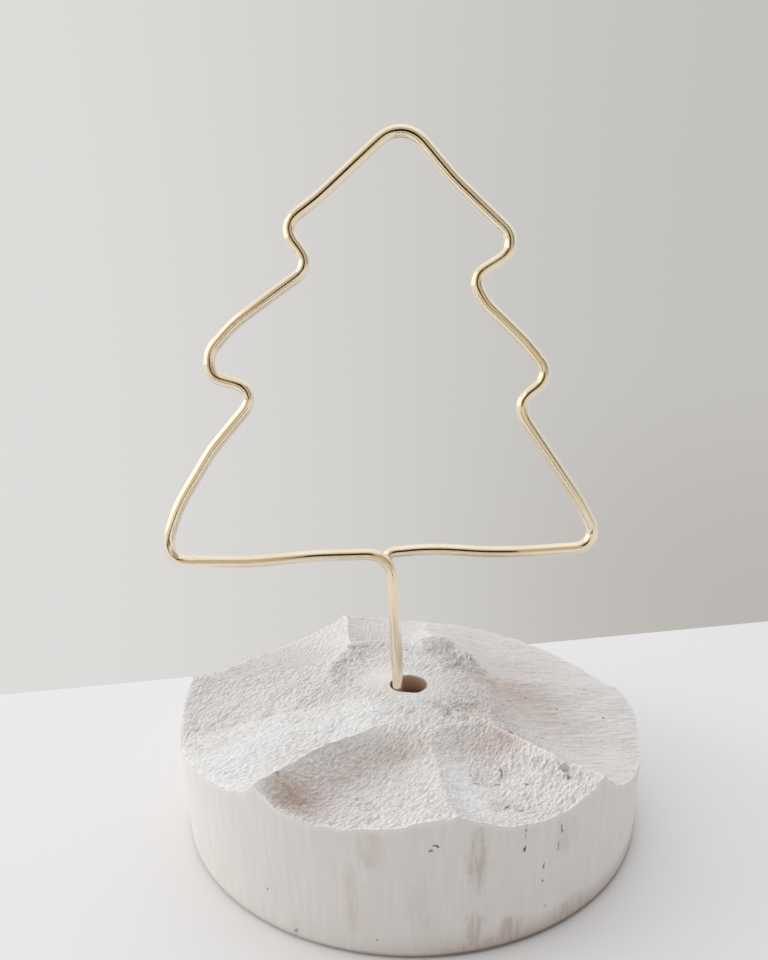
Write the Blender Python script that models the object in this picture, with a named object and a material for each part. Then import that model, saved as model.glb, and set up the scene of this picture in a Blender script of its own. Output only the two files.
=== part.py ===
"""A fir tree bent from one brass wire, standing in a hole in a chiselled round stone.

Metres, +Z up. The origin is the middle of the stone's underside. The tree faces -Y.
"""

import math

import bpy
import numpy as np
from mathutils import Vector

# Stone
STONE_RADIUS = 0.058          # at the foot
STONE_HEIGHT = 0.030          # underside to the middle of the patch around the hole
SIDE_FLARE = 0.0017           # how much wider the side is at that height
FOOT_CHAMFER = 0.0008
CARVING_DEPTH = 0.0100        # unit of the heights in the carving tables
RIDGE_STRAIGHTENING = 4       # how soon a ridge takes its outer angle
DISH_RADIUS = 0.0100          # worn hollow around the hole
DISH_DEPTH = 0.0008
PATCH_TILT = 0.05             # rise of the patch towards the back, per metre

# Wire and hole
WIRE_DIAMETER = 0.003
CLEARANCE = 0.0003            # between strands, and between wire and stone
HOLE_PLAY = 0.0037            # room in the hole beyond the two strands
HOLE_DEPTH = 0.018
STEM_HEIGHT = 0.0368          # stone to the middle of the lowest bars
TREE_HEIGHT = 0.1015          # lowest bars to the top, middle to middle

# Fineness of the facets
WIRE_SIDES = 10
BEND_STEP = math.radians(20)
STRAIGHT_STEP = 0.012
SPOKES_PER_TURN = 60
RINGS_ON_CARVING = (0.12, 0.28, 0.46, 0.64, 0.82, 1.0)

WIRE_RADIUS = WIRE_DIAMETER / 2
STRAND_SPACING = WIRE_DIAMETER + CLEARANCE
HOLE_RADIUS = (STRAND_SPACING + WIRE_DIAMETER + HOLE_PLAY) / 2

# Ridges of the carving, by turning from +X: the angle where the ridge leaves the patch and where it
# meets the side, how far out it leaves the patch as a share of the stone's radius, and its height
# there and at the side, above the patch, in units of the carving's depth.
RIDGES = (
    (17, 9, 0.43, -0.10, -0.50),
    (66, 82, 0.53, 0.05, -0.54),
    (127, 110, 0.49, 0.10, -0.12),
    (148, 173, 0.46, 0.06, -0.02),
    (250, 237, 0.39, -0.02, 0.38),
    (281, 278, 0.42, -0.04, 0.18),
    (316, 312, 0.46, -0.08, -0.04),
)

# Hollows of the carving, each from the ridge of the same row to the next one: how far it bites into
# the patch as a share of the stone's radius, how deep its lip is in units of the carving's depth,
# where between the ridges the lip is lowest, and how broad its floor is.
HOLLOWS = (
    (0.02, 0.14, 0.35, 1.0),
    (0.07, 0.08, 0.50, 1.0),
    (0.02, 0.66, 0.45, 0.8),
    (0.21, 0.76, 0.38, 0.5),
    (0.02, 0.54, 0.33, 1.3),
    (0.03, 0.36, 0.48, 0.7),
    (0.06, 0.46, 0.34, 0.8),
)

# Corners of the bent wire, from the foot of the front strand around the tree to the foot of the rear
# one. Across and up are hundredths of the tree's height, from the trunk and the lowest bars. Then
# come the inside radius of the bend in the same unit, and how far the wire has gone to the rear
# plane, from 0 to 1.
OUTLINE = (
    # trunk turns into the left bar
    (-1.1, 0.2, 4.9, 0),
    (-20.4, 0.0, 57.6, 0),
    (-36.6, -1.3, 57.6, 0),
    # left tip and slope of the lowest tier
    (-56.5, -0.8, 2.7, 0),
    (-57.2, 5.0, 7.4, 0),
    (-53.8, 13.7, 26.1, 0),
    (-44.8, 27.4, 28.1, 0),
    # left notch, tip and slope of the middle tier
    (-31.9, 41.8, 2.2, 0),
    (-43.9, 45.0, 1.8, 0),
    (-44.2, 50.9, 4.4, 0),
    (-37.9, 57.6, 28.1, 0),
    # left notch, tip and slope of the highest tier
    (-18.7, 70.6, 2.1, 0),
    (-25.5, 79.6, 2.6, 0),
    (-16.5, 85.9, 37.9, 0),
    # top
    (3.2, 102.6, 5.4, 0),
    # right slope, tip and notch of the highest tier
    (14.7, 89.4, 37.9, 0),
    (31.0, 74.2, 2.9, 0),
    (19.0, 67.3, 1.7, 0),
    # right slope, tip and notch of the middle tier
    (22.2, 61.2, 7.4, 0),
    (31.5, 52.3, 28.1, 0),
    (38.5, 43.8, 2.7, 0),
    (30.8, 38.1, 1.7, 0),
    # right slope and tip of the lowest tier
    (31.7, 33.9, 7.4, 0),
    (45.9, 12.8, 28.1, 0),
    (51.8, 1.0, 2.7, 0),
    # right bar, which ends behind the left one and turns down
    (31.2, 0.0, 47.8, 0),
    (22.9, -0.1, 47.8, 0.25),
    (12.0, 0.3, 47.8, 0.8),
    (6.1, 0.1, 23.2, 1),
    (-3.2, -0.6, 0.5, 1),
    (-1.0, -7.5, 13.3, 1),
)


def clear_scene():
    for item in list(bpy.data.objects):
        bpy.data.objects.remove(item, do_unlink=True)


def principled(name, colour, roughness, metallic):
    material = bpy.data.materials.new(name)
    material.use_nodes = True
    shader = material.node_tree.nodes["Principled BSDF"]
    shader.inputs["Base Color"].default_value = (*colour, 1.0)
    shader.inputs["Roughness"].default_value = roughness
    shader.inputs["Metallic"].default_value = metallic
    return material


def add_object(name, vertices, faces, material, sharp_angle):
    mesh = bpy.data.meshes.new(name)
    mesh.from_pydata(vertices, [], faces)
    mesh.materials.append(material)
    mesh.shade_smooth()
    mesh.set_sharp_from_angle(angle=sharp_angle)
    item = bpy.data.objects.new(name, mesh)
    bpy.context.collection.objects.link(item)
    return item


# Stone: height of the carved top

def side_radius(height):
    return STONE_RADIUS + SIDE_FLARE * height / STONE_HEIGHT


def patch_height(across, back):
    """The patch around the hole, with its tilt and the worn dish."""
    share = min(1.0, math.hypot(across, back) / DISH_RADIUS)
    return STONE_HEIGHT + DISH_DEPTH * share ** 2 + PATCH_TILT * back


def hollow_shape(share, lowest, broad):
    """0 on both ridges and 1 where the lip is lowest."""
    bent = share ** (math.log(0.5) / math.log(lowest))
    return (4 * bent * (1 - bent)) ** broad


def spoke_angle(row, share, out):
    """Angle of a line between two ridges, from the patch at 0 to the side at 1."""
    here = RIDGES[row]
    there = RIDGES[(row + 1) % len(RIDGES)]
    turn = 360 if row + 1 == len(RIDGES) else 0
    still = (1 - out) ** RIDGE_STRAIGHTENING
    start = here[1] + (here[0] - here[1]) * still
    end = there[1] + (there[0] - there[1]) * still + turn
    return math.radians(start + (end - start) * share)


def patch_edge(row, share):
    """How far out the patch ends."""
    here = RIDGES[row]
    there = RIDGES[(row + 1) % len(RIDGES)]
    bite = HOLLOWS[row][0] * hollow_shape(share, 0.5, 1.0)
    return STONE_RADIUS * (here[2] + (there[2] - here[2]) * share - bite)


def carved_height(row, share, out):
    """Height of the top between two ridges, from the patch at 0 to the side at 1."""
    here = RIDGES[row]
    there = RIDGES[(row + 1) % len(RIDGES)]
    _, lip, lowest, broad = HOLLOWS[row]
    start = here[3] + (here[4] - here[3]) * out
    end = there[3] + (there[4] - there[3]) * out
    fall = lip * (1 - (1 - out) ** 2)
    level = start + (end - start) * share - fall * hollow_shape(share, lowest, broad)
    return STONE_HEIGHT + CARVING_DEPTH * level


# Stone: mesh

def stone_spokes():
    """Row and share between ridges of each spoke, so that a spoke runs along every ridge."""
    spokes = []
    for row in range(len(RIDGES)):
        span = math.degrees(spoke_angle(row, 1, 1) - spoke_angle(row, 0, 1))
        count = max(3, round(span * SPOKES_PER_TURN / 360))
        spokes += [(row, step / count) for step in range(count)]
    return spokes


def on_circle(angle, radius, height):
    return (radius * math.cos(angle), radius * math.sin(angle), height)


def patch_point(row, share, distance):
    angle = spoke_angle(row, share, 0)
    across = distance * math.cos(angle)
    back = distance * math.sin(angle)
    return (across, back, patch_height(across, back))


def carving_point(row, share, out):
    height = carved_height(row, share, out)
    edge = patch_edge(row, share)
    radius = edge + (side_radius(height) - edge) * out
    return on_circle(spoke_angle(row, share, out), radius, height)


def stone_rings(spokes):
    """Rings of points from the bottom of the hole over the top and down the side."""
    hole_floor = STONE_HEIGHT - HOLE_DEPTH
    foot = STONE_RADIUS - FOOT_CHAMFER
    above_foot = side_radius(FOOT_CHAMFER)
    rings = [[on_circle(spoke_angle(*spoke, 0), HOLE_RADIUS, hole_floor) for spoke in spokes]]
    rings.append([patch_point(*spoke, HOLE_RADIUS) for spoke in spokes])
    rings.append([patch_point(*spoke, DISH_RADIUS) for spoke in spokes])
    rings.append([carving_point(*spoke, 0) for spoke in spokes])
    for out in RINGS_ON_CARVING:
        rings.append([carving_point(*spoke, out) for spoke in spokes])
    rings.append([on_circle(spoke_angle(*spoke, 1), above_foot, FOOT_CHAMFER) for spoke in spokes])
    rings.append([on_circle(spoke_angle(*spoke, 1), foot, 0) for spoke in spokes])
    return rings, hole_floor


def make_stone(material):
    spokes = stone_spokes()
    rings, hole_floor = stone_rings(spokes)
    around = len(spokes)
    vertices = [point for ring in rings for point in ring]
    faces = []
    for ring in range(len(rings) - 1):
        for spoke in range(around):
            beside = (spoke + 1) % around
            inner = ring * around
            outer = inner + around
            faces.append((inner + spoke, outer + spoke, outer + beside, inner + beside))
    floor_centre = len(vertices)
    underside_centre = floor_centre + 1
    vertices += [(0, 0, hole_floor), (0, 0, 0)]
    last = (len(rings) - 1) * around
    for spoke in range(around):
        beside = (spoke + 1) % around
        faces.append((floor_centre, spoke, beside))
        faces.append((underside_centre, last + beside, last + spoke))
    return add_object("stone_base", vertices, faces, material, math.radians(35))


# Wire: route

def trunk_across():
    """Where the trunk leaves the stone: both strands lean on the left wall of the hole."""
    reach = HOLE_RADIUS - WIRE_RADIUS - CLEARANCE
    return -math.sqrt(max(reach ** 2 - (STRAND_SPACING / 2) ** 2, 0))


def outline_point(corner):
    across, up, _, rearward = corner
    unit = TREE_HEIGHT / 100
    depth = STRAND_SPACING * (rearward - 0.5)
    return Vector((trunk_across() + across * unit, depth, STONE_HEIGHT + STEM_HEIGHT + up * unit))


def foot_of_strand(above):
    """End of a strand on the hole's floor, in line with the trunk above the stone."""
    at_stone = Vector((trunk_across(), above.y, STONE_HEIGHT))
    down = STONE_HEIGHT - HOLE_DEPTH + CLEARANCE
    return at_stone + (at_stone - above) * (STONE_HEIGHT - down) / (above.z - STONE_HEIGHT)


def route_corners():
    """Corners of the whole wire, and the middle radius of each bend."""
    corners = [outline_point(corner) for corner in OUTLINE]
    corners.insert(0, foot_of_strand(corners[0]))
    corners.append(foot_of_strand(corners[-1]))
    radii = [0] + [corner[2] * TREE_HEIGHT / 100 + WIRE_RADIUS for corner in OUTLINE] + [0]
    return corners, radii


def bend_reaches(corners, radii):
    """How far each bend reaches along its runs, kept short enough for neighbours to share a run."""
    reaches = [0]
    for before, corner, after, radius in zip(corners, corners[1:], corners[2:], radii[1:]):
        turn = (corner - before).angle(after - corner)
        reaches.append(radius * math.tan(turn / 2))
    reaches.append(0)
    runs = [(after - before).length for before, after in zip(corners, corners[1:])]
    room = [min(1, run / (a + b)) for run, a, b in zip(runs, reaches, reaches[1:])]
    limits = [1] + [min(pair) for pair in zip(room, room[1:])] + [1]
    return [reach * limit for reach, limit in zip(reaches, limits)]


def bend_points(before, corner, after, reach):
    """Points along the arc that replaces one corner."""
    inward = (before - corner).normalized()
    outward = (after - corner).normalized()
    turn = math.pi - inward.angle(outward)
    radius = reach / math.tan(turn / 2)
    start = corner + inward * reach
    middle = corner + (inward + outward).normalized() * (radius / math.cos(turn / 2))
    arm = start - middle
    side = -inward * radius
    steps = max(1, math.ceil(turn / BEND_STEP))
    angles = [turn * step / steps for step in range(steps + 1)]
    return [middle + arm * math.cos(angle) + side * math.sin(angle) for angle in angles]


def wire_route():
    """Points along the middle of the wire."""
    corners, radii = route_corners()
    reaches = bend_reaches(corners, radii)
    route = [corners[0]]
    for index in range(1, len(corners) - 1):
        bend = bend_points(corners[index - 1], corners[index], corners[index + 1], reaches[index])
        route += straight_points(route[-1], bend[0]) + bend
    return route + straight_points(route[-1], corners[-1]) + [corners[-1]]


def straight_points(start, end):
    """Points inside a straight run, so that no facet is very long."""
    steps = max(1, math.ceil((end - start).length / STRAIGHT_STEP))
    return [start.lerp(end, step / steps) for step in range(1, steps)]


# Wire: mesh

def wire_ring(before, point, after):
    """Corners of the wire's round section at one point of its route."""
    along = (after - before).normalized()
    back = Vector((0, 1, 0))
    back = (back - along * back.dot(along)).normalized()
    beside = back.cross(along)
    angles = np.linspace(0, 2 * math.pi, WIRE_SIDES, endpoint=False)
    return [point + (back * math.cos(a) + beside * math.sin(a)) * WIRE_RADIUS for a in angles]


def make_wire(material):
    route = wire_route()
    befores = [route[0]] + route[:-1]
    afters = route[1:] + [route[-1]]
    vertices = []
    for before, point, after in zip(befores, route, afters):
        vertices += wire_ring(before, point, after)
    faces = [tuple(range(WIRE_SIDES))]
    for ring in range(len(route) - 1):
        for side in range(WIRE_SIDES):
            beside = (side + 1) % WIRE_SIDES
            low = ring * WIRE_SIDES
            high = low + WIRE_SIDES
            faces.append((low + side, high + side, high + beside, low + beside))
    last = (len(route) - 1) * WIRE_SIDES
    faces.append(tuple(last + side for side in reversed(range(WIRE_SIDES))))
    return add_object("wire_tree", vertices, faces, material, math.radians(60))


def main():
    clear_scene()
    make_stone(principled("white_stone", (0.76, 0.73, 0.71), 0.85, 0.0))
    make_wire(principled("brass_wire", (0.80, 0.66, 0.42), 0.22, 1.0))


main()
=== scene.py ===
"""Looks of the wire tree sculpture: chiselled stone, bent brass wire, and a small studio.

Metres, +Z up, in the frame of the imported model. The tree faces -Y.
"""

import math

import bpy
import numpy as np
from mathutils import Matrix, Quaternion, Vector, noise


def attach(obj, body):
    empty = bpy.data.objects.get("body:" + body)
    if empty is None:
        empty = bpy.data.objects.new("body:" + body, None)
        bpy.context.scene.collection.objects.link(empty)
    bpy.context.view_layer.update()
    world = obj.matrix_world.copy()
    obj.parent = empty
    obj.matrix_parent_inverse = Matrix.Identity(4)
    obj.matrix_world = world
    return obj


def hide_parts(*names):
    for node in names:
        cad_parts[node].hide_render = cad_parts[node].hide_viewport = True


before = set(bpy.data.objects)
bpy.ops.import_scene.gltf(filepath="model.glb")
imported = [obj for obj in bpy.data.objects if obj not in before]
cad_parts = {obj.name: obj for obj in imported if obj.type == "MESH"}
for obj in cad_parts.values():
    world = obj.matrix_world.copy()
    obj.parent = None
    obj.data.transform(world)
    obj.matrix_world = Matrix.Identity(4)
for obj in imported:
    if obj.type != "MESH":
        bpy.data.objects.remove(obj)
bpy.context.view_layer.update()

MM = 0.001

# Stone, the same sizes as its solid
STONE_RADIUS = 0.058
STONE_HEIGHT = 0.030
SIDE_FLARE = 0.0017
FOOT_CHAMFER = 0.0008
CARVING_DEPTH = 0.0100
DISH_RADIUS = 0.0100
DISH_DEPTH = 0.0008
PATCH_TILT = 0.05

# Wire and hole, the same sizes as their solids
WIRE_DIAMETER = 0.003
CLEARANCE = 0.0003
HOLE_PLAY = 0.0037
HOLE_DEPTH = 0.018
STEM_HEIGHT = 0.0368
TREE_HEIGHT = 0.1015

WIRE_RADIUS = WIRE_DIAMETER / 2
STRAND_SPACING = WIRE_DIAMETER + CLEARANCE
HOLE_RADIUS = (STRAND_SPACING + WIRE_DIAMETER + HOLE_PLAY) / 2
HOLE_FLOOR = STONE_HEIGHT - HOLE_DEPTH

# Ridges, by turning from +X: angle at the patch and at the side, how far out the ridge leaves the
# patch as a share of the stone's radius, and its height there and at the side in units of the
# carving's depth
RIDGES = np.array((
    (17, 9, 0.40, -0.06, -0.62),
    (66, 82, 0.49, 0.14, -0.54),
    (127, 110, 0.47, 0.16, -0.12),
    (148, 173, 0.46, 0.06, 0.03),
    (200, 194, 0.24, -0.02, -0.70),
    (250, 237, 0.39, -0.02, 0.42),
    (281, 277, 0.42, -0.04, 0.25),
    (316, 311, 0.46, -0.08, 0.10),
))

# For each ridge: how crisp its crest is and how strong a painted highlight along it is, how soon it
# turns to its angle at the side, and how far it sags halfway out, in units of the carving's depth
CRISP = np.array((0.3, 0.2, 0.3, 0.5, 0.0, 0.9, 0.2, 1.0))
STRAIGHTENING = np.array((4, 4, 2, 4, 4, 4, 4, 4))
SAG = np.array((0, 0, 0, 0, 0, 0, 0.26, 0))

# Hollows after each ridge: bite into the patch, depth of the lip, where it is lowest, how broad, how
# soon it plunges to that depth, and how much deeper it is inside
HOLLOWS = np.array((
    (0.02, 0.22, 0.22, 1.3, 7.0, 0.36),
    (0.05, 0.08, 0.50, 0.6, 7.0, 0.46),
    (0.02, 0.66, 0.45, 0.8, 5.0, 0.08),
    (0.01, 0.03, 0.50, 1.0, 2.0, 0.03),
    (0.01, 0.27, 0.85, 0.8, 2.0, 0.00),
    (0.02, 0.48, 0.33, 1.2, 4.5, 0.06),
    (0.03, 0.42, 0.48, 1.05, 5.0, 0.02),
    (0.06, 0.63, 0.30, 1.6, 3.5, 0.10),
))

# Corners of the wire: across and up in hundredths of the tree's height, inside radius of the bend
# in the same unit, and how far the wire has gone to the rear plane
OUTLINE = (
    (-1.1, 0.2, 4.9, 0),
    (-20.4, 0.0, 57.6, 0),
    (-36.6, -1.3, 57.6, 0),
    (-56.5, -0.8, 2.7, 0),
    (-57.2, 5.0, 7.4, 0),
    (-53.8, 13.7, 26.1, 0),
    (-44.8, 27.4, 28.1, 0),
    (-31.9, 41.8, 2.2, 0),
    (-43.9, 45.0, 1.8, 0),
    (-44.2, 50.9, 4.4, 0),
    (-37.9, 57.6, 28.1, 0),
    (-18.7, 70.6, 2.1, 0),
    (-25.5, 79.6, 2.6, 0),
    (-16.5, 85.9, 37.9, 0),
    (3.2, 102.6, 5.4, 0),
    (14.7, 89.4, 37.9, 0),
    (31.0, 74.2, 2.9, 0),
    (19.0, 67.3, 1.7, 0),
    (22.2, 61.2, 7.4, 0),
    (31.5, 52.3, 28.1, 0),
    (38.5, 43.8, 2.7, 0),
    (30.8, 38.1, 1.7, 0),
    (31.7, 33.9, 7.4, 0),
    (45.9, 12.8, 28.1, 0),
    (51.8, 1.0, 2.7, 0),
    (31.2, 0.0, 47.8, 0),
    (22.9, -0.1, 47.8, 0.25),
    (12.0, 0.3, 47.8, 0.8),
    (6.1, 0.1, 23.2, 1),
    (-3.2, -0.6, 0.5, 1),
    (-1.0, -7.5, 13.3, 1),
)

# Camera
CAMERA_PLACE = (-0.00548, -0.1845, 0.1204)
CAMERA_PITCH = math.radians(-10.60)
CAMERA_ROLL = math.radians(-1.11)
CAMERA_LENS = 27.75


# Small helpers

def smooth_step(low, high, value):
    t = np.clip((value - low) / (high - low), 0, 1)
    return t * t * (3 - 2 * t)


def paint(red, green, blue):
    """Scene colour of a screen colour given from 0 to 255."""
    channels = [c / 255 for c in (red, green, blue)]
    linear = [c / 12.92 if c < 0.04045 else ((c + 0.055) / 1.055) ** 2.4 for c in channels]
    return (*linear, 1.0)


def waves(points, size, octaves=1, offset=0.0):
    """Smooth noise from about -1 to 1 at each point. size is the wave's length along x, y and z."""
    scaled = points / np.array(size) + offset
    if octaves == 1:
        return np.array([noise.noise(Vector(p)) for p in scaled])
    return np.array([noise.fractal(Vector(p), 1.0, 2.1, octaves) for p in scaled])


def turned(points, degrees):
    """Points in axes turned about +Z, so that x runs along the given direction."""
    a = math.radians(degrees)
    x = points[:, 0] * math.cos(a) + points[:, 1] * math.sin(a)
    y = points[:, 1] * math.cos(a) - points[:, 0] * math.sin(a)
    return np.stack([x, y, points[:, 2]], axis=1)


def spots(points, table):
    """Sum of soft spots seen from above. Each row: x, y, reach in x and y (mm), and strength."""
    total = np.zeros(len(points))
    for x, y, reach_x, reach_y, strength in table:
        off_x = (points[:, 0] - x * MM) / (reach_x * MM)
        off_y = (points[:, 1] - y * MM) / (reach_y * MM)
        total += strength * np.exp(-(off_x ** 2 + off_y ** 2))
    return total


def broken_cells(points, size, offset=0.0):
    """A random level from -1 to 1 for each cell of a cracked pattern."""
    scaled = points / size + offset
    nearest = [noise.voronoi(Vector(p))[1][0] for p in scaled]
    return np.array([noise.cell(point * 7.3) * 2 - 1 for point in nearest])


def add_attribute(mesh, name, values):
    attribute = mesh.attributes.new(name, "FLOAT", "POINT")
    attribute.data.foreach_set("value", np.asarray(values, dtype=np.float32))


def add_piece(name, points, faces, material, sharp_angle, node):
    mesh = bpy.data.meshes.new(name)
    mesh.from_pydata(points.tolist(), [], faces)
    mesh.materials.append(material)
    mesh.shade_smooth()
    mesh.set_sharp_from_angle(angle=math.radians(sharp_angle))
    piece = bpy.data.objects.new(name, mesh)
    bpy.context.collection.objects.link(piece)
    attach(piece, "root")
    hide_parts(node)
    return piece


# Stone: the carved form, near the solid's but finer and rounder

SPOKES_PER_TURN = 812
BORE_RINGS = 12
DISH_RINGS = 12
PATCH_RINGS = 26
CARVING_RINGS = 74
SIDE_RINGS = 26
MOUTH_EDGE = 0.5 * MM


def stone_spokes(stride):
    """Row and share between ridges of every spoke, or of each second or fourth one."""
    rows, shares = [], []
    for row in range(len(RIDGES)):
        span = RIDGES[(row + 1) % len(RIDGES), 1] - RIDGES[row, 1]
        count = 4 * round((span % 360) * SPOKES_PER_TURN / 360 / 4)
        steps = np.arange(0, count, stride)
        rows.append(np.full(len(steps), row))
        shares.append(steps / count)
    return np.concatenate(rows), np.concatenate(shares)


def ridge_pair(row):
    return RIDGES[row], RIDGES[(row + 1) % len(RIDGES)]


def side_radius(height):
    return STONE_RADIUS + SIDE_FLARE * height / STONE_HEIGHT


def hollow_shape(share, lowest, broad):
    """0 at both ridges and 1 in between, at the share where the hollow is lowest."""
    bent = share ** (math.log(0.5) / np.log(lowest))
    return (4 * bent * (1 - bent)) ** broad


def spoke_angle(row, share, out):
    """Direction of each spoke, where out runs from 0 at the patch to 1 at the side."""
    here, there = ridge_pair(row)
    following = (row + 1) % len(RIDGES)
    turn = np.where(row + 1 == len(RIDGES), 360, 0)
    start = here[:, 1] + (here[:, 0] - here[:, 1]) * (1 - out) ** STRAIGHTENING[row]
    end = there[:, 1] + (there[:, 0] - there[:, 1]) * (1 - out) ** STRAIGHTENING[following] + turn
    return np.radians(start + (end - start) * share)


def patch_edge(row, share):
    """How far from the middle the patch ends on each spoke."""
    here, there = ridge_pair(row)
    bite = HOLLOWS[row, 0] * hollow_shape(share, 0.5, 1.0)
    return STONE_RADIUS * (here[:, 2] + (there[:, 2] - here[:, 2]) * share - bite)


def carved_height(row, share, out):
    """Height of the carving, where out runs from 0 at the patch to 1 at the side."""
    here, there = ridge_pair(row)
    _, lip, lowest, broad, plunge, inside = HOLLOWS[row].T
    halfway = 4 * out * (1 - out)
    start = here[:, 3] + (here[:, 4] - here[:, 3]) * out - SAG[row] * halfway
    end = there[:, 3] + (there[:, 4] - there[:, 3]) * out - SAG[(row + 1) % len(RIDGES)] * halfway
    drop = 1 - (1 - out) ** plunge
    fall = drop * (lip + inside * (1 - out))
    level = start + (end - start) * share - fall * hollow_shape(share, lowest, broad)
    return STONE_HEIGHT + CARVING_DEPTH * level


def on_circle(angle, radius, height):
    flat = np.broadcast_to(height, angle.shape)
    return np.stack([radius * np.cos(angle), radius * np.sin(angle), flat], axis=1)


def patch_height(points):
    """Height of the patch, dished around the hole and rising a little towards the back."""
    share = np.clip(np.hypot(points[:, 0], points[:, 1]) / DISH_RADIUS, 0, 1)
    return STONE_HEIGHT + DISH_DEPTH * share ** 2 + PATCH_TILT * points[:, 1]


def patch_ring(spokes, distance):
    points = on_circle(spoke_angle(*spokes, 0), distance, 0.0)
    points[:, 2] = patch_height(points)
    return points


def carving_ring(spokes, out):
    height = carved_height(*spokes, out)
    edge = patch_edge(*spokes)
    radius = edge + (side_radius(height) - edge) * out
    return on_circle(spoke_angle(*spokes, out), radius, height)


# Stone: broken surface

# Forms of the patch. Each row: x, y, reach in x and y (mm), and height (mm)
PATCH_FORMS = (
    (10, 24, 7, 4, 2.5),
    (-11, 24, 8, 3.5, 1.8),
    (-17, 18, 4, 5, 1.4),
    (1, 26, 2.5, 4, -0.9),
    (-9, 5, 6, 7, -0.7),
    (-20, 7, 3, 5, 0.9),
    (17, 13, 4, 5, 1.9),
    (18, -4, 4, 3.5, 1.2),
    (10, -13, 5, 3, -0.6),
    (25, 3, 3, 7, -0.7),
    (-10, -17, 5, 8, 0.7),
)

# Crumbly places, in the same order of values, with a strength
CRUMBLES = (
    (15, 13, 4.5, 5, 1.0),
    (12.5, -12.5, 5, 4, 1.0),
    (-19, 9, 3, 5, 0.8),
    (33, -39, 4, 4, 0.9),
    (24, -22, 3, 3, 0.8),
    (18, -47.5, 4, 2.5, 0.7),
    (16, -35.5, 4, 4, 0.4),
    (19, 7, 6, 6, 0.5),
    (11, 19, 6, 4, 0.7),
    (-15, 19, 5, 4, 0.6),
)

# Warm brown places: partly stain, partly painted shade and warm bounced light under the ridges of the
# front hollows
WARM_STAIN_AND_SHADE_SPOTS = (
    (-25, -48, 6, 6, 0.9),
    (-17, -38, 7, 6, 0.3),
    (-10, -32, 8, 5, 0.25),
    (-3, -28, 7, 4, 0.5),
    (21, -25, 9, 5, 0.6),
    (18, -13, 8, 5, 0.3),
    (30, -4, 12, 8, 0.35),
    (-50, 8, 8, 12, 0.15),
    (30, -52, 12, 5, 0.2),
    (-38, 32, 16, 14, 0.22),
    (27, 2, 8, 6, 0.35),
    (38, -12, 8, 7, 0.15),
    (34, 22, 14, 10, 0.18),
    (20, 46, 14, 8, 0.15),
)

# Places white with stone dust, and painted light that brightens the faces towards the window and lifts
# the shade in the left hollow
DUST_AND_LIGHT_SPOTS = (
    (-34, -22, 14, 12, 0.7),
    (-42, -38, 12, 11, 1.2),
    (-13, -16, 9, 9, 1.6),
    (-42, -4, 14, 14, 0.6),
    (13, -47, 6, 9, 0.9),
    (8, -34, 5, 8, 0.8),
    (-8, -42, 10, 9, 0.25),
)

# Smooth worn places around the hole
WORN = (
    (0, 0, 6.5, 6.0, 1.2),
    (-8, 4, 5.0, 5.5, 0.8),
)

# Calm smooth places
CALM = (
    (-33, 40, 16, 14, 1.2),
    (-8, 42, 14, 10, 0.6),
)

# Width of a pale crest, how far ridges wander, and how far the front lip of the hole is set back,
# around which angle in degrees and over how wide an angle
CREST_REACH = 0.6 * MM
WANDER = 0.8 * MM
LIP_SHIFT = 0.8 * MM
LIP_ANGLE = -98
LIP_SPREAD = 25


def broken_relief(points, rough, right, crumbly):
    """Height added to the broken top by swells, chisel strokes and crumbs, and how deep its pits are."""
    flat = points * np.array((1, 1, 0.4))
    swell = waves(flat, (0.011, 0.009, 0.011), 3)
    warped = flat + 0.0012 * np.stack([waves(flat, (0.004,) * 3, 1, o) for o in (1, 2, 3)], axis=1)
    left_strokes = 0.5 - np.abs(waves(turned(warped, 52), (0.0046, 0.0015, 0.004), 3, 7.0))
    right_strokes = waves(turned(flat, 4), (0.0080, 0.0015, 0.004), 2, 17.0)
    crumbs = np.abs(waves(warped, (0.0013, 0.0013, 0.0013), 3, 31.0))
    cells = broken_cells(flat, 0.0024) + 0.6 * broken_cells(flat, 0.0013, 9.0)
    left = (1 - right) * (0.42 * left_strokes - 0.30 * crumbs)
    fine = left + right * (0.15 * right_strokes - 0.20 * crumbs)
    relief = rough * (0.35 * swell + fine) + crumbly * 0.30 * cells
    return relief * MM, np.clip(0.5 - 2.2 * (fine + crumbly * 0.2 * cells), 0, 1) * rough


def rim_chips(points, zone):
    """Height added near the rim, the same down each column of points, so that its edge is ragged."""
    around = np.arctan2(points[:, 1], points[:, 0])
    on_rim = on_circle(around, STONE_RADIUS, 0.0)
    small = waves(on_rim, (0.0032,) * 3, 3, 41.0)
    large = np.abs(waves(on_rim, (0.009,) * 3, 2, 43.0))
    near = smooth_step(1.955, 2.0, zone) * (1 - smooth_step(2.02, 2.2, zone))
    return (small * 0.30 - large * 0.8) * near * MM


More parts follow.
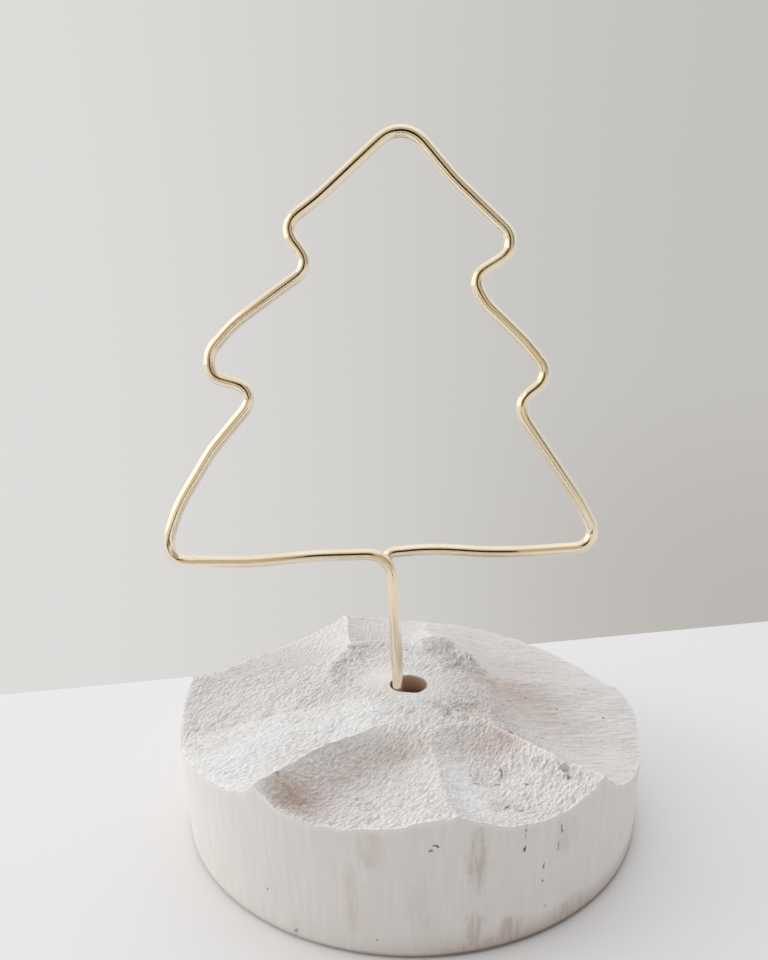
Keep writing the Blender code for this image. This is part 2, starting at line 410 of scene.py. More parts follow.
def stone_rings():
    """Rings of points from the bottom of the hole, over the top and down to the underside.

    Each ring comes with its spokes and its zone: -1 in the hole and up to 0 on the dish, up to 1 on
    the patch, up to 2 on the carving, up to 3 on the side, and 4 on the underside.
    """
    coarse, medium, fine = (stone_spokes(stride) for stride in (4, 2, 1))
    rings = []
    angle = spoke_angle(*coarse, 0)
    for height in np.linspace(HOLE_FLOOR, STONE_HEIGHT - MOUTH_EDGE, BORE_RINGS):
        rings.append((on_circle(angle, HOLE_RADIUS, height), coarse, -1))
    for distance in np.linspace(HOLE_RADIUS, DISH_RADIUS, DISH_RINGS):
        rings.append((patch_ring(coarse, distance), coarse, distance / DISH_RADIUS - 1))
    for step in range(1, PATCH_RINGS + 1):
        share = step / PATCH_RINGS
        spokes = coarse if share < 0.3 else medium
        inner, outer = patch_ring(spokes, DISH_RADIUS), carving_ring(spokes, 0)
        rings.append((inner + (outer - inner) * share, spokes, share))
    for step in range(1, CARVING_RINGS + 1):
        out = step / CARVING_RINGS
        rings.append((carving_ring(fine, out), fine, 1 + out))
    for step in range(1, SIDE_RINGS + 1):
        spokes = fine if step < 4 else medium
        lip = carved_height(*spokes, 1)
        share = (step / SIDE_RINGS) ** 1.5
        height = lip + (FOOT_CHAMFER - lip) * share
        side = on_circle(spoke_angle(*spokes, 1), side_radius(height), height)
        rings.append((side, spokes, 2 + share))
    foot = on_circle(spoke_angle(*medium, 1), STONE_RADIUS - FOOT_CHAMFER, 0.0)
    rings.append((foot, medium, 4))
    return rings


def edge_share(points, zone, rings):
    """1 on crisp crests, on the rim and on the back of the patch's edge, and 0 a little way off."""
    rows = np.concatenate([spokes[0] for _, spokes, _ in rings])
    shares = np.concatenate([spokes[1] for _, spokes, _ in rings])
    radius = np.hypot(points[:, 0], points[:, 1])
    span = np.radians((RIDGES[(rows + 1) % len(RIDGES), 1] - RIDGES[rows, 1]) % 360)
    nearest = np.where(shares < 0.5, rows, (rows + 1) % len(RIDGES))
    off = np.minimum(shares, 1 - shares) * span * radius
    crest = CRISP[nearest] * np.exp(-(off / CREST_REACH) ** 2) * smooth_step(1.0, 1.1, zone)
    rim = np.exp(-((zone - 2) / 0.022) ** 2)
    back = smooth_step(0.004, 0.016, points[:, 1])
    hub = 0.9 * back * np.exp(-((zone - 0.97) / 0.05) ** 2)
    return np.clip(crest * (zone <= 2) + rim + hub, 0, 1)


def stone_weights(points, zone, edge):
    """How strongly each kind of surface shows at each point. The right has a flatter grain."""
    top = ((zone > -1) & (zone <= 2)).astype(float)
    worn = top * np.clip(spots(points, WORN), 0, 1)
    broken = top - 0.8 * worn
    right = smooth_step(0.010, 0.034, points[:, 0] + 0.45 * points[:, 1])
    calm_right = 0.2 * right * smooth_step(1.0, 1.3, zone)
    return {
        "top": top,
        "worn": worn,
        "broken": broken,
        "right": right,
        "edge": edge,
        "crumbly": broken * spots(points, CRUMBLES),
        "calm": np.clip(calm_right + 0.6 * spots(points, CALM), 0, 0.8),
    }


def shift_sideways(points, zone, weights):
    """Lets ridges and hollows wander a little, and sets the front lip of the hole back."""
    around = np.arctan2(points[:, 1], points[:, 0])
    amount = WANDER * weights["top"] * smooth_step(-0.1, 0.6, zone) * (1 - 0.5 * weights["edge"])
    sideways = waves(points, (0.007,) * 3, 3, 3.0) * amount
    outward = waves(points, (0.007,) * 3, 3, 5.0) * amount * (1 - smooth_step(1.9, 2.0, zone))
    points[:, 0] += outward * np.cos(around) - sideways * np.sin(around)
    points[:, 1] += outward * np.sin(around) + sideways * np.cos(around)
    off_lip = (np.degrees(around) - LIP_ANGLE) / LIP_SPREAD
    lip = np.exp(-off_lip ** 2) * (1 - smooth_step(-0.5, -0.1, zone))
    lip *= smooth_step(STONE_HEIGHT - 3 * MM, STONE_HEIGHT - MM, points[:, 2])
    points[:, 1] += LIP_SHIFT * lip


def break_surface(points, zone, weights):
    """Adds humps, chips, strokes and crumbs to the top, and returns how deep its pits are."""
    hub = weights["top"] * smooth_step(-0.5, 0.0, zone) * (1 - smooth_step(1.0, 1.25, zone))
    points[:, 2] += spots(points, PATCH_FORMS) * MM * hub
    points[:, 2] += rim_chips(points, zone)
    rough = weights["broken"] * (1 - weights["calm"]) * (1 - 0.25 * weights["edge"])
    relief, pits = broken_relief(points, rough, weights["right"], weights["crumbly"])
    points[:, 2] += relief
    return pits


def make_stone(material):
    rings = stone_rings()
    points = np.concatenate([ring for ring, _, _ in rings])
    zone = np.concatenate([np.full(len(ring), place, dtype=float) for ring, _, place in rings])
    weights = stone_weights(points, zone, edge_share(points, zone, rings))
    shift_sideways(points, zone, weights)
    pits = break_surface(points, zone, weights)

    centres = np.array(((0, 0, HOLE_FLOOR), (0, 0, 0)))
    faces = closed_faces([ring for ring, _, _ in rings])
    all_points = np.concatenate([points, centres])
    stone = add_piece("stone", all_points, faces, material, 55, "stone_base")
    for name in ("broken", "right", "edge", "worn"):
        add_attribute(stone.data, name, np.append(weights[name], (0, 0)))
    add_attribute(stone.data, "crumbly", np.append(np.clip(weights["crumbly"], 0, 1), (0, 0)))
    add_attribute(stone.data, "pits", np.append(pits, (0, 0)))
    add_attribute(stone.data, "warm_stain_and_shade", np.append(np.clip(spots(points, WARM_STAIN_AND_SHADE_SPOTS), 0, 1), (0, 0)))
    add_attribute(stone.data, "dust_and_light", np.append(np.clip(spots(points, DUST_AND_LIGHT_SPOTS), 0, 1), (0, 0)))
    add_attribute(stone.data, "bore", np.append((zone == -1).astype(float), (1, 0)))
    add_attribute(stone.data, "side", np.append((zone > 2).astype(float), (0, 0)))


def closed_faces(rings):
    """Faces over all rings, and fans that close the first and last ring at two added centres."""
    faces = stitch(rings)
    centre = sum(len(ring) for ring in rings)
    first, last = len(rings[0]), len(rings[-1])
    for spoke in range(first):
        faces.append((centre, spoke, (spoke + 1) % first))
    start = centre - last
    for spoke in range(last):
        faces.append((centre + 1, start + (spoke + 1) % last, start + spoke))
    return faces


def stitch(rings):
    """Faces between neighbouring rings, of which the next has as many points, double or half."""
    faces = []
    start = 0
    for inner, outer in zip(rings, rings[1:]):
        a, b = len(inner), len(outer)
        low, high = start, start + a
        if a == b:
            for i in range(a):
                j = (i + 1) % a
                faces.append((low + i, high + i, high + j, low + j))
        elif b == 2 * a:
            for i in range(a):
                j = (i + 1) % a
                middle = high + 2 * i + 1
                faces.append((low + i, high + 2 * i, middle))
                faces.append((low + i, middle, low + j))
                faces.append((low + j, middle, high + (2 * i + 2) % b))
        else:
            for i in range(b):
                j = (i + 1) % b
                middle = low + 2 * i + 1
                faces.append((high + i, middle, low + 2 * i))
                faces.append((high + i, high + j, middle))
                faces.append((high + j, low + (2 * i + 2) % a, middle))
        start = high
    return faces


# Wire: route, as in the solid but finer

WIRE_SIDES = 32
BEND_STEP = math.radians(4)
RING_STEP = 0.00036
SOFTENING = 0.0009


def trunk_across():
    """How far to the left both strands stand, so that they rest near the wall of the hole."""
    reach = HOLE_RADIUS - WIRE_RADIUS - CLEARANCE
    return -math.sqrt(reach ** 2 - (STRAND_SPACING / 2) ** 2)


def outline_point(corner):
    """Place of a corner of the outline, in the front plane, the rear plane or between them."""
    across, up, _, rearward = corner
    unit = TREE_HEIGHT / 100
    depth = STRAND_SPACING * (rearward - 0.5)
    return Vector((trunk_across() + across * unit, depth, STONE_HEIGHT + STEM_HEIGHT + up * unit))


def foot_of_strand(above):
    """End of a strand at the bottom of the hole, in line with its lowest corner and the trunk."""
    at_stone = Vector((trunk_across(), above.y, STONE_HEIGHT))
    end = HOLE_FLOOR + CLEARANCE
    return at_stone + (at_stone - above) * (STONE_HEIGHT - end) / (above.z - STONE_HEIGHT)


def route_corners():
    corners = [outline_point(corner) for corner in OUTLINE]
    corners.insert(0, foot_of_strand(corners[0]))
    corners.append(foot_of_strand(corners[-1]))
    radii = [0] + [corner[2] * TREE_HEIGHT / 100 + WIRE_RADIUS for corner in OUTLINE] + [0]
    return corners, radii


def bend_reaches(corners, radii):
    """How far from each corner its bend begins, less where two bends would meet."""
    reaches = [0]
    for before, corner, after, radius in zip(corners, corners[1:], corners[2:], radii[1:]):
        turn = (corner - before).angle(after - corner)
        reaches.append(radius * math.tan(turn / 2))
    reaches.append(0)
    runs = [(after - before).length for before, after in zip(corners, corners[1:])]
    room = [min(1, run / (a + b)) for run, a, b in zip(runs, reaches, reaches[1:])]
    limits = [1] + [min(pair) for pair in zip(room, room[1:])] + [1]
    return [reach * limit for reach, limit in zip(reaches, limits)]


def bend_points(before, corner, after, reach):
    """Points on the arc that rounds a corner."""
    inward = (before - corner).normalized()
    outward = (after - corner).normalized()
    turn = math.pi - inward.angle(outward)
    radius = reach / math.tan(turn / 2)
    start = corner + inward * reach
    middle = corner + (inward + outward).normalized() * (radius / math.cos(turn / 2))
    arm = start - middle
    side = -inward * radius
    steps = max(1, math.ceil(turn / BEND_STEP))
    angles = [turn * step / steps for step in range(steps + 1)]
    return [middle + arm * math.cos(angle) + side * math.sin(angle) for angle in angles]


def even_steps(route):
    """The route with points at even steps, and the distance of each from the start."""
    length = np.append(0, np.cumsum(np.linalg.norm(np.diff(route, axis=0), axis=1)))
    along = np.linspace(0, length[-1], round(length[-1] / RING_STEP) + 1)
    return np.stack([np.interp(along, length, route[:, axis]) for axis in range(3)], axis=1), along


def soften(route):
    """Bends run gently into the straights, as in hand-bent wire."""
    reach = round(3 * SOFTENING / RING_STEP)
    weights = np.exp(-0.5 * (np.arange(-reach, reach + 1) * RING_STEP / SOFTENING) ** 2)
    weights /= weights.sum()
    padded = np.concatenate([np.repeat(route[:1], reach, 0), route, np.repeat(route[-1:], reach, 0)])
    soft = [np.convolve(padded[:, axis], weights, "valid") for axis in range(3)]
    soft = np.stack(soft, axis=1)
    soft[[0, -1]] = route[[0, -1]]
    return soft


def wire_route():
    corners, radii = route_corners()
    reaches = bend_reaches(corners, radii)
    route = [corners[0]]
    for index in range(1, len(corners) - 1):
        route += bend_points(corners[index - 1], corners[index], corners[index + 1], reaches[index])
    route.append(corners[-1])
    route, along = even_steps(np.array(route))
    return soften(route), along


def make_wire(material):
    route, along = wire_route()
    heading = np.gradient(route, axis=0)
    heading /= np.linalg.norm(heading, axis=1)[:, None]
    back = np.array((0.0, 1.0, 0.0)) - heading * heading[:, 1:2]
    back /= np.linalg.norm(back, axis=1)[:, None]
    beside = np.cross(back, heading)
    angles = np.linspace(0, 2 * math.pi, WIRE_SIDES, endpoint=False)
    radius = np.full((len(route), WIRE_SIDES), WIRE_RADIUS)
    radius -= nick_depths(route, along, angles)
    cosines = (np.cos(angles) * radius)[:, :, None]
    sines = (np.sin(angles) * radius)[:, :, None]
    points = route[:, None, :] + back[:, None, :] * cosines + beside[:, None, :] * sines
    points = points.reshape(-1, 3)
    faces = [tuple(range(WIRE_SIDES))]
    for ring in range(len(route) - 1):
        low = ring * WIRE_SIDES
        high = low + WIRE_SIDES
        for side in range(WIRE_SIDES):
            other = (side + 1) % WIRE_SIDES
            faces.append((low + side, high + side, high + other, low + other))
    last = (len(route) - 1) * WIRE_SIDES
    faces.append(tuple(last + side for side in reversed(range(WIRE_SIDES))))
    add_piece("wire", points, faces, material, 60, "wire_tree")


# Plier marks sit on both sides of each tight bend
NICKED_BEND = 3.0
NICK_DEPTH = 0.20 * MM
NICK_LENGTH = 0.34 * MM
NICK_SPREAD = 0.42


def nick_depths(route, along, angles):
    """How much the pliers took off the wire, for each ring and side."""
    depths = np.zeros((len(along), len(angles)))
    chance = np.random.default_rng(5)
    corners = [np.array(outline_point(corner)) for corner in OUTLINE if corner[2] < NICKED_BEND]
    for corner in corners:
        middle = along[np.argmin(((route - corner) ** 2).sum(axis=1))]
        for facing in (math.pi / 2, -math.pi / 2):
            for _ in range(4):
                place = middle + chance.uniform(-5.0, 5.0) * MM
                angle = facing + chance.normal(0, 0.45)
                depth = NICK_DEPTH * chance.uniform(0.4, 1.0)
                length = NICK_LENGTH * chance.uniform(0.7, 1.4)
                off = np.angle(np.exp(1j * (angles - angle)))
                spread = np.exp(-(off / NICK_SPREAD) ** 2)
                depths += depth * np.exp(-((along - place) / length) ** 2)[:, None] * spread
    return np.minimum(depths, 1.3 * NICK_DEPTH)


# Materials

class Shader:
    """A short way to write node trees."""

    def __init__(self, tree):
        self.tree = tree

    def node(self, kind, sockets=None, **settings):
        item = self.tree.nodes.new(kind)
        for name, value in settings.items():
            setattr(item, name, value)
        for name, value in (sockets or {}).items():
            self.feed(item.inputs[name], value)
        return item

    def feed(self, socket, value):
        if isinstance(value, bpy.types.NodeSocket):
            self.tree.links.new(value, socket)
        else:
            socket.default_value = value

    def attribute(self, name):
        return self.node("ShaderNodeAttribute", attribute_name=name).outputs["Fac"]

    def coordinates(self):
        return self.node("ShaderNodeTexCoord").outputs["Object"]

    def stretched(self, vector, scale, turn=0.0):
        """Coordinates turned about +Z, then scaled."""
        turned_vector = self.node(
            "ShaderNodeMapping", {0: vector, 2: (0, 0, math.radians(-turn))}
        ).outputs[0]
        return self.node("ShaderNodeMapping", {0: turned_vector, 3: scale}).outputs[0]

    def noise(self, vector, scale, detail=2.0, roughness=0.5):
        item = self.node("ShaderNodeTexNoise", {"Vector": vector, "Scale": scale})
        item.inputs["Detail"].default_value = detail
        item.inputs["Roughness"].default_value = roughness
        return item.outputs["Fac"]

    def shaken(self, vector, scale, reach):
        """Coordinates moved about by noise, so that a mark drawn in them gets a ragged edge."""
        ragged = self.node("ShaderNodeTexNoise", {"Vector": vector, "Scale": scale}).outputs["Color"]
        shift = self.vector("SUBTRACT", ragged, (0.5, 0.5, 0.5))
        return self.vector("ADD", vector, self.scaled(shift, reach))

    def vector(self, operation, first, second):
        return self.node("ShaderNodeVectorMath", {0: first, 1: second}, operation=operation).outputs[0]

    def scaled(self, vector, scale):
        sockets = {0: vector, "Scale": scale}
        return self.node("ShaderNodeVectorMath", sockets, operation="SCALE").outputs[0]

    def math(self, operation, first, second=0.0):
        return self.node("ShaderNodeMath", {0: first, 1: second}, operation=operation).outputs[0]

    def step(self, value, low, high, start=0.0, end=1.0):
        """value from low to high, mapped smoothly to start and end."""
        item = self.node(
            "ShaderNodeMapRange",
            {0: value, 1: low, 2: high, 3: start, 4: end},
            interpolation_type="SMOOTHSTEP",
        )
        return item.outputs[0]

    def mix(self, share, first, second):
        item = self.node("ShaderNodeMix", data_type="RGBA")
        self.feed(item.inputs[0], share)
        self.feed(item.inputs[6], first)
        self.feed(item.inputs[7], second)
        return item.outputs[2]

    def near(self, place, centre, reach):
        """1 around the centre, falling to 0 at the reach along x, y and z."""
        off = self.vector("DIVIDE", self.vector("SUBTRACT", place, centre), reach)
        length = self.node("ShaderNodeVectorMath", {0: off}, operation="LENGTH").outputs["Value"]
        return self.step(length, 1.0, 0.4)

    def blend(self, share, first, second):
        item = self.node("ShaderNodeMix", data_type="FLOAT")
        self.feed(item.inputs[0], share)
        self.feed(item.inputs[2], first)
        self.feed(item.inputs[3], second)
        return item.outputs[0]

    def bump(self, height, depth):
        sockets = {"Height": height, "Distance": depth, "Strength": 1.0}
        return self.node("ShaderNodeBump", sockets).outputs["Normal"]


def new_material(name):
    material = bpy.data.materials.new(name)
    material.use_nodes = True
    return material, material.node_tree.nodes["Principled BSDF"], Shader(material.node_tree)


# Marks on the rubbed side: angle, height (mm), half width and half height (mm), strength
SIDE_CRACKS = (
    (290.4, 22.2, 0.45, 0.9, 1.0),
    (290.5, 26.3, 0.3, 2.4, 0.6),
    (295.1, 16.8, 0.35, 1.0, 0.8),
    (294.9, 13.4, 0.3, 0.8, 0.7),
    (299.0, 24.0, 0.35, 1.6, 0.7),
    (298.5, 20.0, 0.3, 1.4, 0.6),
    (272.9, 26.1, 0.8, 0.35, 0.9),
    (272.0, 25.2, 0.6, 0.3, 0.7),
    (237.8, 9.5, 0.35, 0.4, 0.8),
    (261.4, 4.3, 0.3, 0.4, 0.8),
    (244.3, 2.3, 0.5, 0.7, 0.5),
    (296.0, 7.0, 0.4, 0.5, 0.5),
)
# Upright stains on the side; the wide rows low at the foot on the right are painted shade: angle, height
# (mm), half width and half height (mm), strength
SIDE_STAINS_AND_SHADE = (
    (281.0, 22.0, 3.0, 10.0, 0.45),
    (280.5, 6.0, 2.6, 7.0, 0.45),
    (260.5, 25.5, 3.6, 7.0, 0.25),
    (256.8, 13.0, 2.6, 11.0, 0.20),
    (270.0, 12.0, 3.0, 12.0, 0.12),
    (288.0, 4.0, 3.6, 4.5, 0.45),
    (286.0, 0.5, 18.0, 3.6, 0.35),
    (303.0, 1.5, 10.0, 6.0, 0.45),
    (244.3, 2.3, 1.6, 2.2, 0.3),
    (300.0, 22.0, 4.0, 7.0, 0.2),
)

# Dark pores of the top: x, y, half lengths along x and y (mm), strength
TOP_CRACKS = (
    (34.1, -37.6, 0.9, 1.1, 0.9),
    (35.6, -40.0, 0.6, 0.8, 0.7),
    (32.4, -42.0, 0.7, 0.9, 0.7),
    (23.7, -40.6, 0.4, 0.5, 0.8),
    (18.5, -47.7, 0.9, 0.8, 0.7),
    (16.2, -49.3, 0.7, 0.5, 0.7),
    (21.0, -49.5, 0.5, 0.5, 0.6),
    (19.3, -34.8, 0.4, 1.6, 0.7),
    (17.8, -38.6, 1.2, 0.4, 0.7),
    (13.2, -37.6, 0.9, 0.5, 0.5),
    (12.6, -34.6, 0.4, 1.0, 0.4),
    (-46.8, 8.1, 0.5, 0.4, 0.7),
    (49.9, -8.2, 0.45, 0.45, 0.9),
    (38.6, -5.4, 0.4, 0.4, 0.6),
    (31.0, -2.0, 0.35, 0.35, 0.5),
    (42.0, -17.0, 0.35, 0.35, 0.6),
    (24.0, -19.5, 1.2, 0.7, 0.8),
    (-29.5, -44.5, 1.6, 1.2, 0.5),
)


# Depth of the grain, and how far apart its two heights are read for its shading
TOP_GRAIN_DEPTH = 0.6 * MM
SIDE_GRAIN_DEPTH = 0.05 * MM
GRAIN_STEP = 0.20 * MM
SCRATCH_DEPTH = 0.01 * MM

# Paints of the stone's top, its side, its hole and its cracks
TOP_WHITE = paint(250, 249, 248)
TOP_BEIGE = paint(239, 231, 226)
TOP_PALE = paint(245, 244, 243)
DUST_AND_LIGHT_WHITE = paint(253, 253, 252)
WORN_GREY = paint(226, 222, 218)
RIGHT_GREY = paint(236, 233, 230)
PIT_SHADE_BROWN = paint(168, 148, 136)
WARM_STAIN_AND_SHADE_BROWN = paint(176, 134, 106)
GRAIN_SHADE = paint(142, 122, 110)
SPECK_BROWN = paint(140, 118, 104)
CREST_HIGHLIGHT_WHITE = paint(248, 247, 245)
SIDE_WHITE = paint(231, 226, 222)
SIDE_PALE = paint(235, 231, 227)
STAIN_AND_SHADE_BROWN = paint(176, 152, 140)
LOW_RIGHT_SHADE = paint(176, 150, 136)
FOOT_CONTACT_SHADOW = paint(104, 86, 76)
BORE_BOUNCE_TAN = paint(216, 180, 148)
BORE_SHADE_BROWN = paint(116, 82, 60)
CRACK_DARK = paint(92, 74, 64)

# Paints of the wire and the table
BRASS_PALE = paint(246, 234, 213)
BRASS_DEEP = paint(242, 228, 202)
TABLE_WHITE = paint(240, 239, 238)


def side_place(angle, height):
    around = math.radians(angle)
    radius = side_radius(height * MM)
    return (radius * math.cos(around), radius * math.sin(around), height * MM)


def broken_grain(s, place, right):
    """Height of the grain of the broken top: strokes that run one way, and finer crumbs."""
    left_grain = s.noise(s.stretched(place, (0.6, 1, 1), 52), 1250, 2, 0.55)
    right_grain = s.noise(s.stretched(place, (0.25, 1, 1), 4), 1000, 2, 0.5)
    fine = s.noise(place, 2300, 2, 0.6)
    return s.math("ADD", s.blend(right, left_grain, right_grain), s.math("MULTIPLY", fine, 0.5))


def top_paint(s, place, right, grain):
    """Colour of the broken top, darker on the sides of its grain that look away from the window."""
    dust_and_light = s.attribute("dust_and_light")
    clouds = s.step(s.noise(place, 45, 3, 0.55), 0.42, 0.72, 0, 0.6)
    blotches = s.step(s.noise(place, 140, 3, 0.6), 0.45, 0.7, 0, 0.6)
    colour = s.mix(clouds, TOP_WHITE, TOP_BEIGE)
    colour = s.mix(blotches, colour, TOP_PALE)
    # Stone dust, and painted light on the faces towards the window
    colour = s.mix(s.math("MULTIPLY", dust_and_light, 0.85), colour, DUST_AND_LIGHT_WHITE)
    colour = s.mix(s.math("MULTIPLY", s.attribute("worn"), 0.5), colour, WORN_GREY)
    colour = s.mix(s.math("MULTIPLY", right, 0.55), colour, RIGHT_GREY)

    # Painted shade, with brown grit, in the low spots of the grain
    pits = s.math("MULTIPLY", s.step(s.attribute("pits"), 0.35, 0.9), s.blend(dust_and_light, 0.24, 0.08))
    colour = s.mix(pits, colour, PIT_SHADE_BROWN)
    # Painted shade and warm bounced light, with brown stain, in the warm brown places
    mottled = s.step(s.noise(place, 500, 3, 0.6), 0.3, 0.65, 0.6, 1)
    warm_stain_and_shade = s.math("MULTIPLY", s.attribute("warm_stain_and_shade"), mottled)
    colour = s.mix(s.math("MULTIPLY", warm_stain_and_shade, 0.85), colour, WARM_STAIN_AND_SHADE_BROWN)

    beside = s.vector("ADD", place, (GRAIN_STEP, -GRAIN_STEP, 0))
    turned_away = s.step(s.math("SUBTRACT", grain, broken_grain(s, beside, right)), -0.17, 0.17)
    shade = s.math("MULTIPLY", s.blend(right, 0.42, 0.18), s.blend(dust_and_light, 1.0, 0.45))
    shade = s.math("MULTIPLY", s.math("MULTIPLY", turned_away, shade), s.attribute("broken"))
    colour = s.mix(shade, colour, GRAIN_SHADE)
    # Dark brown specks in the crumbly places
    specks = s.step(s.noise(place, 900, 2, 0.5), 0.44, 0.34)
    crumbly_specks = s.math("MULTIPLY", specks, s.attribute("crumbly"))
    return s.mix(s.math("MULTIPLY", crumbly_specks, 0.6), colour, SPECK_BROWN)


def side_paint(s, place, streaks):
    """Colour of the rubbed side, with upright stains, painted shade that darkens it towards the foot at
    the right, and a painted contact shadow along the foot.
    """
    colour = s.mix(s.step(streaks, 0.35, 0.7), SIDE_WHITE, SIDE_PALE)
    wavy = s.shaken(place, 500.0, 0.004)
    stain_and_shade = 0.0
    for angle, height, width, reach, strength in SIDE_STAINS_AND_SHADE:
        patch = s.near(wavy, side_place(angle, height), (width * MM, width * MM, reach * MM))
        stain_and_shade = s.math("MAXIMUM", stain_and_shade, s.math("MULTIPLY", patch, strength))
    blur = s.step(s.noise(s.stretched(place, (1, 1, 0.14)), 800, 3, 0.65), 0.38, 0.62, 0.25, 1)
    # Stains, and painted shade at the foot on the right
    colour = s.mix(s.math("MULTIPLY", stain_and_shade, blur), colour, STAIN_AND_SHADE_BROWN)
    axes = s.node("ShaderNodeSeparateXYZ", {0: place}).outputs
    # Painted shade low on the side at the right, away from the window, and a painted contact shadow at
    # the foot, darkest at the right
    from_right = s.step(axes[0], -0.030, 0.030)
    low = s.math("MULTIPLY", s.step(axes[2], 0.0065, 0.0), from_right)
    colour = s.mix(s.math("MULTIPLY", low, 0.6), colour, LOW_RIGHT_SHADE)
    lowest = s.math("MULTIPLY", s.step(axes[2], 0.0016, 0.0006), s.blend(from_right, 0.3, 0.9))
    return s.mix(lowest, colour, FOOT_CONTACT_SHADOW)


def bore_paint(s, place):
    """Colour of the drilled hole, tan near the top and brown below: brown dust, with painted shade
    deepening down the hole and warm light from the brass painted near its mouth.
    """
    height = s.node("ShaderNodeSeparateXYZ", {0: place}).outputs[2]
    return s.mix(s.step(height, 0.0290, 0.0235), BORE_BOUNCE_TAN, BORE_SHADE_BROWN)


def crack_marks(s, place):
    """1 in the dark cracks and pores, and 0 elsewhere."""
    ragged = s.shaken(place, 900.0, 0.0013)
    crack = 0.0
    for angle, height, width, reach, strength in SIDE_CRACKS:
        mark = s.near(ragged, side_place(angle, height), (width * MM, width * MM, reach * MM))
        crack = s.math("MAXIMUM", crack, s.math("MULTIPLY", mark, strength))
    for x, y, reach_x, reach_y, strength in TOP_CRACKS:
        mark = s.near(ragged, (x * MM, y * MM, STONE_HEIGHT), (reach_x * MM, reach_y * MM, 1.0))
        crack = s.math("MAXIMUM", crack, s.math("MULTIPLY", mark, strength))
    return crack


def stone_material():
    material, surface, s = new_material("white_stone")
    place = s.coordinates()
    broken, right = s.attribute("broken"), s.attribute("right")
    grain = broken_grain(s, place, right)
    streaks = s.noise(s.stretched(place, (1, 1, 0.08)), 900, 3, 0.6)
    faint = s.noise(s.stretched(place, (1, 1, 0.16)), 260, 2, 0.5)
    rubbed = s.step(s.noise(place, 70, 2, 0.5), 0.38, 0.62, 0.05, 0.5)
    side_height = s.math("ADD", s.math("MULTIPLY", streaks, rubbed), s.math("MULTIPLY", faint, 0.3))

    colour = s.mix(s.attribute("side"), top_paint(s, place, right, grain), side_paint(s, place, streaks))
    # Painted highlight, with paler freshly chipped stone: white along crisp crests, the rim and the back
    # edge of the patch
    colour = s.mix(s.math("MULTIPLY", s.attribute("edge"), 0.55), colour, CREST_HIGHLIGHT_WHITE)
    colour = s.mix(s.attribute("bore"), colour, bore_paint(s, place))
    colour = s.mix(crack_marks(s, place), colour, CRACK_DARK)

    surface.inputs["Roughness"].default_value = 0.88
    surface.inputs["Specular IOR Level"].default_value = 0.25
    s.feed(surface.inputs["Base Color"], colour)
    height = s.blend(broken, side_height, grain)
    depth = s.blend(broken, SIDE_GRAIN_DEPTH, TOP_GRAIN_DEPTH)
    s.feed(surface.inputs["Normal"], s.bump(height, depth))
    return material


def wire_material():
    material, surface, s = new_material("brass_wire")
    place = s.coordinates()
    worn = s.noise(place, 90, 3, 0.6)
    scratches = s.noise(place, 2600, 2, 0.6)
    surface.inputs["Metallic"].default_value = 1.0
    colour = s.mix(s.step(worn, 0.4, 0.65), BRASS_PALE, BRASS_DEEP)
    s.feed(surface.inputs["Base Color"], colour)
    s.feed(surface.inputs["Roughness"], s.step(worn, 0.35, 0.7, 0.05, 0.10))
    s.feed(surface.inputs["Normal"], s.bump(scratches, SCRATCH_DEPTH))
    return material


# Studio

# Light of the room from above and from its four sides: axis, side of the axis, colour
ROOM = (
    (2, 1, (1.02, 1.03, 1.05)),
    (0, -1, (0.89, 0.88, 0.87)),
    (0, 1, (0.67, 0.71, 0.74)),
    (1, -1, (0.13, 0.10, 0.07)),
    (1, 1, (0.85, 0.85, 0.86)),
)

TABLE_BACK_LEFT = (-1.5, -0.187)
TABLE_BACK_RIGHT = (1.5, 0.358)
WINDOW_PLACE = (-1.15, 0.16, 0.40)
WINDOW_SIZE = (1.1, 0.7)
WINDOW_WATTS = 5.2

# Colours that the wire mirrors
DARK = (0.02, 0.014, 0.01)
TAN = (0.55, 0.47, 0.34)
CREAM = (0.80, 0.70, 0.58)
BRIGHT = (1.3, 1.27, 1.22)


def make_table():
    """White table whose back edge runs slantwise behind the stone."""
    material, surface, _ = new_material("table_white")
    surface.inputs["Base Color"].default_value = TABLE_WHITE
    surface.inputs["Roughness"].default_value = 0.6
    surface.inputs["Specular IOR Level"].default_value = 0.0
    corners = [(-1.5, -1.5, 0), (1.5, -1.5, 0), (*TABLE_BACK_RIGHT, 0), (*TABLE_BACK_LEFT, 0)]
    mesh = bpy.data.meshes.new("table")
    mesh.from_pydata(corners, [], [(0, 1, 2, 3)])
    mesh.materials.append(material)
    table = bpy.data.objects.new("table", mesh)
    bpy.context.collection.objects.link(table)


def make_card(name, corners, colour):
    """A card that only shows as a reflection in the metal."""
    material = bpy.data.materials.new(name)
    material.use_nodes = True
    tree = material.node_tree
    tree.nodes.clear()
    glow = tree.nodes.new("ShaderNodeEmission")
    glow.inputs["Color"].default_value = (*colour, 1)
    output = tree.nodes.new("ShaderNodeOutputMaterial")
    tree.links.new(glow.outputs[0], output.inputs["Surface"])
    mesh = bpy.data.meshes.new(name)
    mesh.from_pydata(corners, [], [tuple(range(len(corners)))])
    mesh.materials.append(material)
    card = bpy.data.objects.new(name, mesh)
    bpy.context.collection.objects.link(card)
    card.visible_camera = False
    card.visible_diffuse = False
    card.visible_shadow = False
    card.visible_transmission = False


def make_floor_card(name, across, along, colour):
    (x0, x1), (y0, y1) = across, along
    make_card(name, [(x0, y0, MM), (x1, y0, MM), (x1, y1, MM), (x0, y1, MM)], colour)


def make_wall_card(name, left, right, heights, colour):
    low, high = heights
    make_card(name, [(*left, low), (*right, low), (*right, high), (*left, high)], colour)


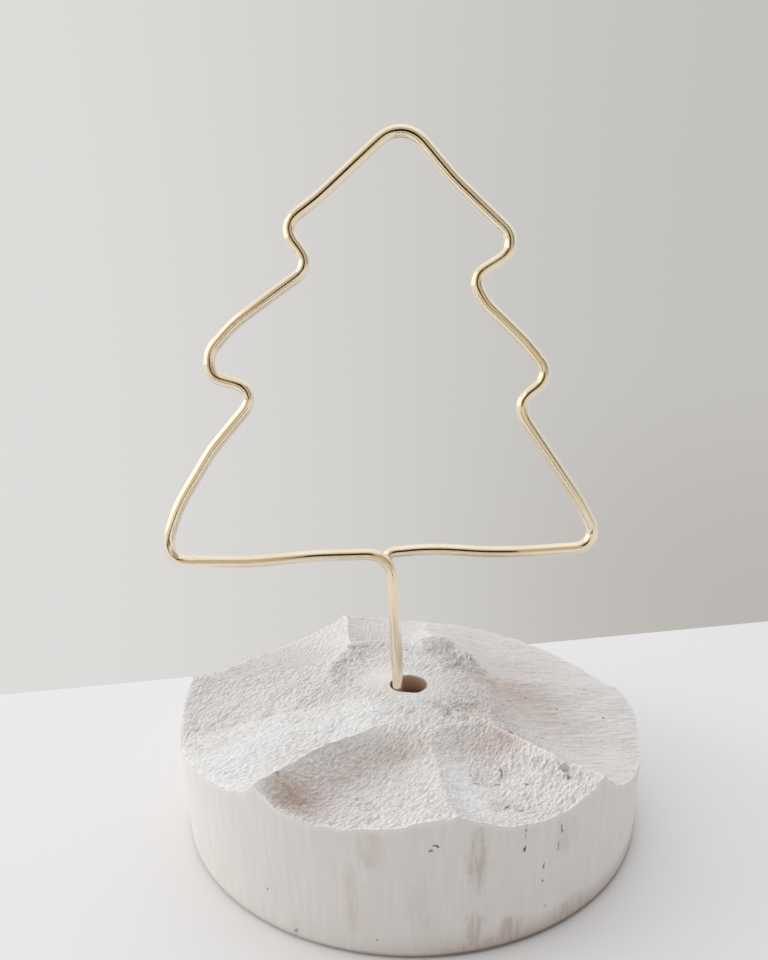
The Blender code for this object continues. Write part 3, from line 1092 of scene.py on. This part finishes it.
def make_world():
    """Pale wall for the eye, painted brighter on the left and with a painted shadow at its low right,
    and a soft bright room for the light.
    """
    world = bpy.data.worlds.new("studio")
    bpy.context.scene.world = world
    world.use_nodes = True
    world.node_tree.nodes.clear()
    s = Shader(world.node_tree)
    direction = s.node("ShaderNodeTexCoord").outputs["Generated"]
    axes = s.node("ShaderNodeSeparateXYZ", {0: direction}).outputs
    # Painted light and shadow on the wall: brighter towards the window on the left, and the tree's soft
    # shadow at the low right
    wall = s.mix(s.step(axes[0], -0.5, 0.45), paint(223, 221, 219), paint(196, 194, 190))
    low_right_shadow = s.math("MULTIPLY", s.step(axes[0], 0.0, 0.5), s.step(axes[2], 0.0, -0.35))
    wall = s.mix(s.math("MULTIPLY", low_right_shadow, 0.6), wall, paint(180, 174, 170))
    room = (0, 0, 0)
    for axis, side, glow in ROOM:
        facing = s.math("MAXIMUM", s.math("MULTIPLY", axes[axis], side), 0.0)
        share = s.math("MULTIPLY", facing, facing)
        room = s.vector("ADD", room, s.scaled(glow, share))
    seen = s.node("ShaderNodeBackground", {"Color": wall})
    light = s.node("ShaderNodeBackground", {"Color": room})
    camera_ray = s.node("ShaderNodeLightPath").outputs["Is Camera Ray"]
    both = s.node("ShaderNodeMixShader", {0: camera_ray})
    s.tree.links.new(light.outputs[0], both.inputs[1])
    s.tree.links.new(seen.outputs[0], both.inputs[2])
    s.node("ShaderNodeOutputWorld", {"Surface": both.outputs[0]})


def make_window():
    data = bpy.data.lights.new("window", "AREA")
    data.shape = "RECTANGLE"
    data.size, data.size_y = WINDOW_SIZE
    data.energy = WINDOW_WATTS
    lamp = bpy.data.objects.new("window", data)
    lamp.location = WINDOW_PLACE
    lamp.rotation_mode = "QUATERNION"
    lamp.rotation_quaternion = (Vector((0, 0, 0.05)) - Vector(WINDOW_PLACE)).to_track_quat("-Z", "Y")
    lamp.visible_camera = False
    bpy.context.collection.objects.link(lamp)


def make_studio():
    make_world()
    make_table()
    make_window()
    make_floor_card("dark_floor", (-0.25, 0.05), (-0.27, -0.20), DARK)
    make_floor_card("far_floor", (-1.4, 1.4), (-1.4, -0.27), CREAM)
    make_wall_card("dark_figure", (-0.09, -0.35), (0.045, -0.35), (0.08, 0.32), DARK)
    make_wall_card("dark_right", (0.30, -0.26), (0.36, -0.20), (0.15, 0.6), DARK)
    make_wall_card("tan_room", (-1.0, -1.3), (1.3, -1.1), (0, 1.5), TAN)
    make_wall_card("bright_left", (-1.0, -1.1), (-1.05, 0.5), (0.05, 1.2), BRIGHT)
    bpy.context.scene.view_settings.view_transform = "Standard"


def make_camera():
    data = bpy.data.cameras.new("camera")
    data.lens = CAMERA_LENS
    data.clip_start = 0.01
    camera = bpy.data.objects.new("camera", data)
    camera.location = CAMERA_PLACE
    ahead = Vector((0, math.cos(CAMERA_PITCH), math.sin(CAMERA_PITCH)))
    camera.rotation_mode = "QUATERNION"
    camera.rotation_quaternion = ahead.to_track_quat("-Z", "Y") @ Quaternion((0, 0, 1), CAMERA_ROLL)
    bpy.context.collection.objects.link(camera)
    bpy.context.scene.camera = camera


# The scene

make_stone(stone_material())
make_wire(wire_material())
make_studio()
make_camera()
